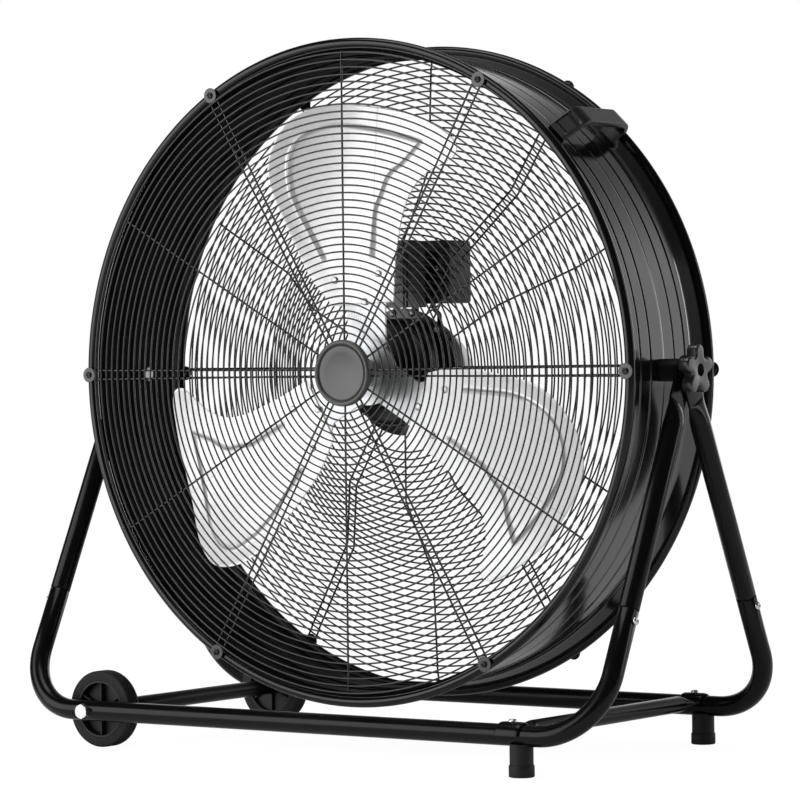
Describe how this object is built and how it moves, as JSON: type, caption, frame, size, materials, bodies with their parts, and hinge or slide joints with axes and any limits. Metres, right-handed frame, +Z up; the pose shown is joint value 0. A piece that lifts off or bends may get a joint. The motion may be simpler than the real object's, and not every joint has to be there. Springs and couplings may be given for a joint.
{
  "type": "drum fan",
  "caption": "Floor-standing drum fan: a shallow steel drum between dished wire guards, hung by clamp knobs on a bent tube stand with transport wheels and rubber feet.",
  "frame": {"origin": "on the floor, straight under the middle of the drum's tilt axis", "axes": "+X to the right seen from the air outlet, +Y to the back, +Z up; the fan's axis is along Y and air leaves towards -Y"},
  "size_m": [0.885, 0.45, 0.8701],
  "materials": {
    "frame_black": "satin powder coat",
    "drum_black": "gloss powder coat",
    "guard_black": "semi-gloss coated wire",
    "washer_steel": "dull zinc plate",
    "cap_grey": "satin moulded",
    "knob_black": "moulded plastic",
    "spacer_black": "moulded plastic",
    "wheel_black": "matte moulded",
    "tyre_black": "matte rubber",
    "rubber_black": "matte rubber",
    "zinc": "bright zinc plate",
    "black_screw": "black oxide",
    "blade_silver": "satin pressed sheet",
    "spider_steel": "silver paint",
    "motor_black": "satin paint",
    "core_steel": "stacked laminations",
    "copper_wire": "enamelled winding",
    "box_black": "matte moulded",
    "capacitor_grey": "moulded case"
  },
  "bodies": {
    "base": {"front_lower_tube": "frame_black", "rear_lower_tube": "frame_black", "front_left_leg": "frame_black", "front_right_leg": "frame_black", "rear_left_leg": "frame_black", "rear_right_leg": "frame_black", "leg_screws": "zinc", "cross_brace": "frame_black", "brace_screws": "zinc", "rubber_feet": "rubber_black", "foot_screws": "zinc", "axle_tube": "frame_black", "axle_plugs": "spacer_black", "axle_bolts": "zinc", "axle_washers": "spacer_black"},
    "drum": {"barrel": "drum_black", "front_guard_rings": "guard_black", "front_guard_spokes": "guard_black", "front_guard_hub_plate": "guard_black", "front_hub_cap": "cap_grey", "guard_washers": "washer_steel", "guard_screws": "black_screw", "rear_guard_rings": "guard_black", "rear_guard_spokes": "guard_black", "carry_handle": "knob_black", "handle_screws": "black_screw", "pivot_studs": "zinc", "pivot_spacers": "spacer_black", "pivot_washers": "zinc", "motor_mount_plate": "guard_black", "motor_front_bell": "motor_black", "motor_rear_bell": "motor_black", "mount_screws": "black_screw", "stator_core": "core_steel", "stator_winding": "copper_wire", "motor_bearings": "zinc", "box_bracket": "guard_black", "control_box": "box_black", "control_box_cover": "box_black", "box_screws": "black_screw", "rotary_switch": "box_black", "run_capacitor": "capacitor_grey", "cord_gland": "spacer_black", "motor_lead": "rubber_black"},
    "fan": {"blade_1": "blade_silver", "blade_2": "blade_silver", "blade_3": "blade_silver", "fan_spider": "spider_steel", "fan_set_screw": "zinc", "blade_rivets": "blade_silver", "fan_shaft": "zinc", "rotor_core": "core_steel"},
    "front_wheel": {"front_wheel": "wheel_black", "front_tyre": "tyre_black"},
    "rear_wheel": {"rear_wheel": "wheel_black", "rear_tyre": "tyre_black"},
    "right_knob": {"right_tilt_knob": "knob_black"},
    "left_knob": {"left_tilt_knob": "knob_black"},
    "speed_dial": {"speed_knob": "knob_black", "switch_spindle": "zinc"}
  },
  "joints": [
    {"name": "drum_tilt", "type": "hinge", "parent": "base", "child": "drum", "pos_m": [0, 0, 0.463], "axis": [1, 0, 0], "range_deg": [-90, 90]},
    {"name": "fan_spin", "type": "hinge", "parent": "drum", "child": "fan", "pos_m": [0, 0, 0.463], "axis": [0, 1, 0], "continuous": true},
    {"name": "front_wheel_spin", "type": "hinge", "parent": "base", "child": "front_wheel", "pos_m": [-0.317, -0.177, 0.0475], "axis": [0, 1, 0], "continuous": true},
    {"name": "rear_wheel_spin", "type": "hinge", "parent": "base", "child": "rear_wheel", "pos_m": [-0.317, 0.177, 0.0475], "axis": [0, 1, 0], "continuous": true},
    {"name": "right_knob_turn", "type": "hinge", "parent": "drum", "child": "right_knob", "pos_m": [0.4375, 0, 0.463], "axis": [1, 0, 0], "continuous": true},
    {"name": "left_knob_turn", "type": "hinge", "parent": "drum", "child": "left_knob", "pos_m": [-0.4375, 0, 0.463], "axis": [1, 0, 0], "continuous": true},
    {"name": "speed_dial_turn", "type": "hinge", "parent": "drum", "child": "speed_dial", "pos_m": [0.022, 0.107, 0.587], "axis": [0, 1, 0], "range_deg": [0, 135]}
  ]
}
